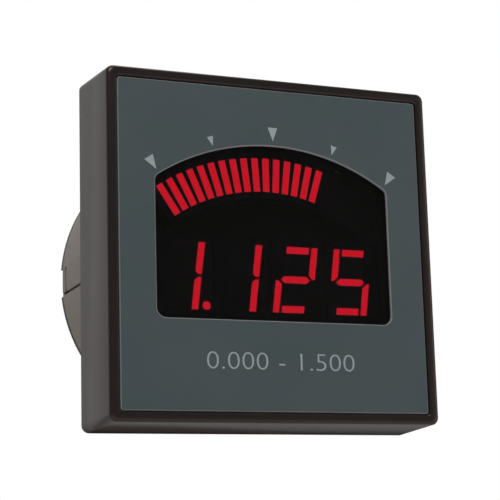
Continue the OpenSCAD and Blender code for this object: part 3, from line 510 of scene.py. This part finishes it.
def sky_node(kind, settings, links):
    made = sky.nodes.new("ShaderNode" + kind)
    for setting, value in settings.items():
        setattr(made, setting, value)
    for key, value in links.items():
        if isinstance(value, bpy.types.NodeSocket):
            sky.links.new(value, made.inputs[key])
        else:
            made.inputs[key].default_value = value
    return made


# The room is dim in front of the meter and bright behind it; the camera sees plain white.
DIM = 0.10
BRIGHT = 0.6
direction = sky_node("TexCoord", {}, {}).outputs["Generated"]
depth = sky_node("SeparateXYZ", {}, {0: direction}).outputs[1]
level = sky_node("MapRange", dict(interpolation_type="SMOOTHSTEP"),
                 {0: depth, 1: -0.5, 2: 0.6, 3: DIM, 4: BRIGHT}).outputs[0]
seen = sky_node("LightPath", {}, {}).outputs["Is Camera Ray"]
strength = sky_node("Mix", dict(data_type="FLOAT"), {0: seen, 2: level, 3: 1.0}).outputs[0]
glow = sky_node("Background", {}, {0: (1, 1, 1, 1), 1: strength}).outputs[0]
sky_node("OutputWorld", {}, {0: glow})


def softbox(name, place, size, power):
    """A soft lamp that shines from place towards the origin and that the camera doesn't see."""
    lamp = bpy.data.lights.new(name, "AREA")
    lamp.shape = "RECTANGLE"
    lamp.size, lamp.size_y = size
    lamp.energy = power
    made = bpy.data.objects.new(name, lamp)
    SCENE.collection.objects.link(made)
    back = np.array(place) / np.linalg.norm(place)
    side = np.cross((0, 0, 1), back)
    side /= np.linalg.norm(side)
    up = np.cross(back, side)
    turn = Matrix(np.column_stack([side, up, back]).tolist()).to_4x4()
    made.matrix_world = Matrix.Translation(place) @ turn
    made.visible_camera = False


softbox("key", (-0.25, -0.9, 0.75), size=(0.7, 0.5), power=5.0)
softbox("fill", (0.9, -0.7, 0.15), size=(0.5, 0.8), power=1.6)
softbox("top", (0.0, 0.1, 0.9), size=(0.6, 0.6), power=2.0)


# ---- The meter ----

DIGITS = range(1, 5)
plate_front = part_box("dial_plate")[0].y

black_moulding = bezel_finish()
dial_lacquer = plate_finish()
ink = ink_finish()
acrylic = filter_finish()
lit = glow_finish()
housing_black = moulded("housing_black", (0.004, 0.004, 0.004), "display_black", 0.6, tone=0.1)
# The lit guides share the dark guides' resin; their brighter red is painted glow of the light inside them
lit_guide = guide_finish("lit_guide", (0.35, 0.004, 0.012), "lit_red")
dark_guide = guide_finish("dark_guide", (0.012, 0.004, 0.004), "dark_red")
case_grey = moulded("case_grey", (0.25, 0.21, 0.17), "case_grey", 0.5)
cover_black = moulded("cover_black", (0.03, 0.03, 0.03), "cover_black", 0.45)
terminal_green = moulded("terminal_green", (0.02, 0.16, 0.06), "terminal_green", 0.4)
chip_black = moulded("chip_black", (0.02, 0.02, 0.02), "chip_black", 0.5)
emitter = moulded("emitter_white", (0.6, 0.58, 0.5), "emitter_white", 0.4)
trimmer_blue = moulded("trimmer_blue", (0.03, 0.10, 0.35), "trimmer_blue", 0.35)
sleeve_blue = moulded("capacitor_sleeve", (0.02, 0.03, 0.12), "capacitor_blue", 0.3)
potted_blue = moulded("potted_blue", (0.02, 0.06, 0.22), "potted_blue", 0.35)
black_board = board("black_board", (0.008, 0.014, 0.011), "board_black")
green_board = board("green_board", (0.012, 0.09, 0.03), "board_green")
zinc = metal("zinc_steel", (0.62, 0.62, 0.60), "zinc_steel", 0.3)
gold = metal("contact_gold", (0.80, 0.60, 0.25), "contact_gold", 0.25)
copper = metal("copper", (0.85, 0.45, 0.28), "copper", 0.3)
brass = metal("brass", (0.78, 0.60, 0.30), "brass", 0.28)
steel_stack = laminations()

refine("bezel", black_moulding, angle=32, bevel=0.25 * MM, segments=3)
dress(dial_lacquer, "dial_plate")
dress(ink, "scale_marks")
dress(acrylic, "display_filter")
dress(housing_black, "bargraph_housing", *[f"digit_housing_{n}" for n in DIGITS])
dress(lit_guide, "lit_bars", "lit_point", *[f"lit_segments_{n}" for n in DIGITS])
dress(dark_guide, "dark_bars", "dark_points", *[f"dark_segments_{n}" for n in DIGITS])
dress(black_board, "display_board")
dress(green_board, "main_board", "power_board")
dress(chip_black, "driver_chips", "segment_resistors", "microcontroller", "converter_chip",
      "bridge_rectifier", "voltage_regulator", "board_socket")
dress(gold, "board_pins")
dress(brass, "board_standoffs", "current_inner_nuts")
dress(zinc, "display_board_screws", "main_board_screws", "supply_terminal_screws", "supply_terminal_clamps",
      "current_washers")
dress(emitter, "bar_emitters")
dress(trimmer_blue, "calibration_trimmers")
dress(sleeve_blue, "filter_capacitors")
dress(potted_blue, "current_transformer")
dress(copper, "transformer_winding", "current_strap")
dress(steel_stack, "transformer_core")

refine("case_base", case_grey, bevel=0.15 * MM)
refine("rear_cover", cover_black, bevel=0.2 * MM)
refine("supply_terminal_block", terminal_green, bevel=0.2 * MM)
refine("case_screws", zinc, bevel=0.1 * MM)
refine("current_studs", brass)
refine("mounting_studs", zinc)

# Lit shapes behind the filter, with painted red light spilling round them onto the housing
lit_faces("digits_alight", lit, [f"lit_segments_{n}" for n in DIGITS],
          core=0.45 * MM, halo=0.9 * MM)
lit_faces("point_alight", lit, ["lit_point"], core=0.5 * MM, halo=0.9 * MM)
lit_faces("bars_alight", lit, ["lit_bars"], core=0.35 * MM, halo=0.42 * MM)

# Plain numbers under the window
text_piece("range_numbers", "0.000 - 1.500", ink, height=5.3 * MM, width=49.7 * MM,
           centre=(0.85 * MM, -35.85 * MM), y=plate_front - 0.02 * MM, slim=-0.016)
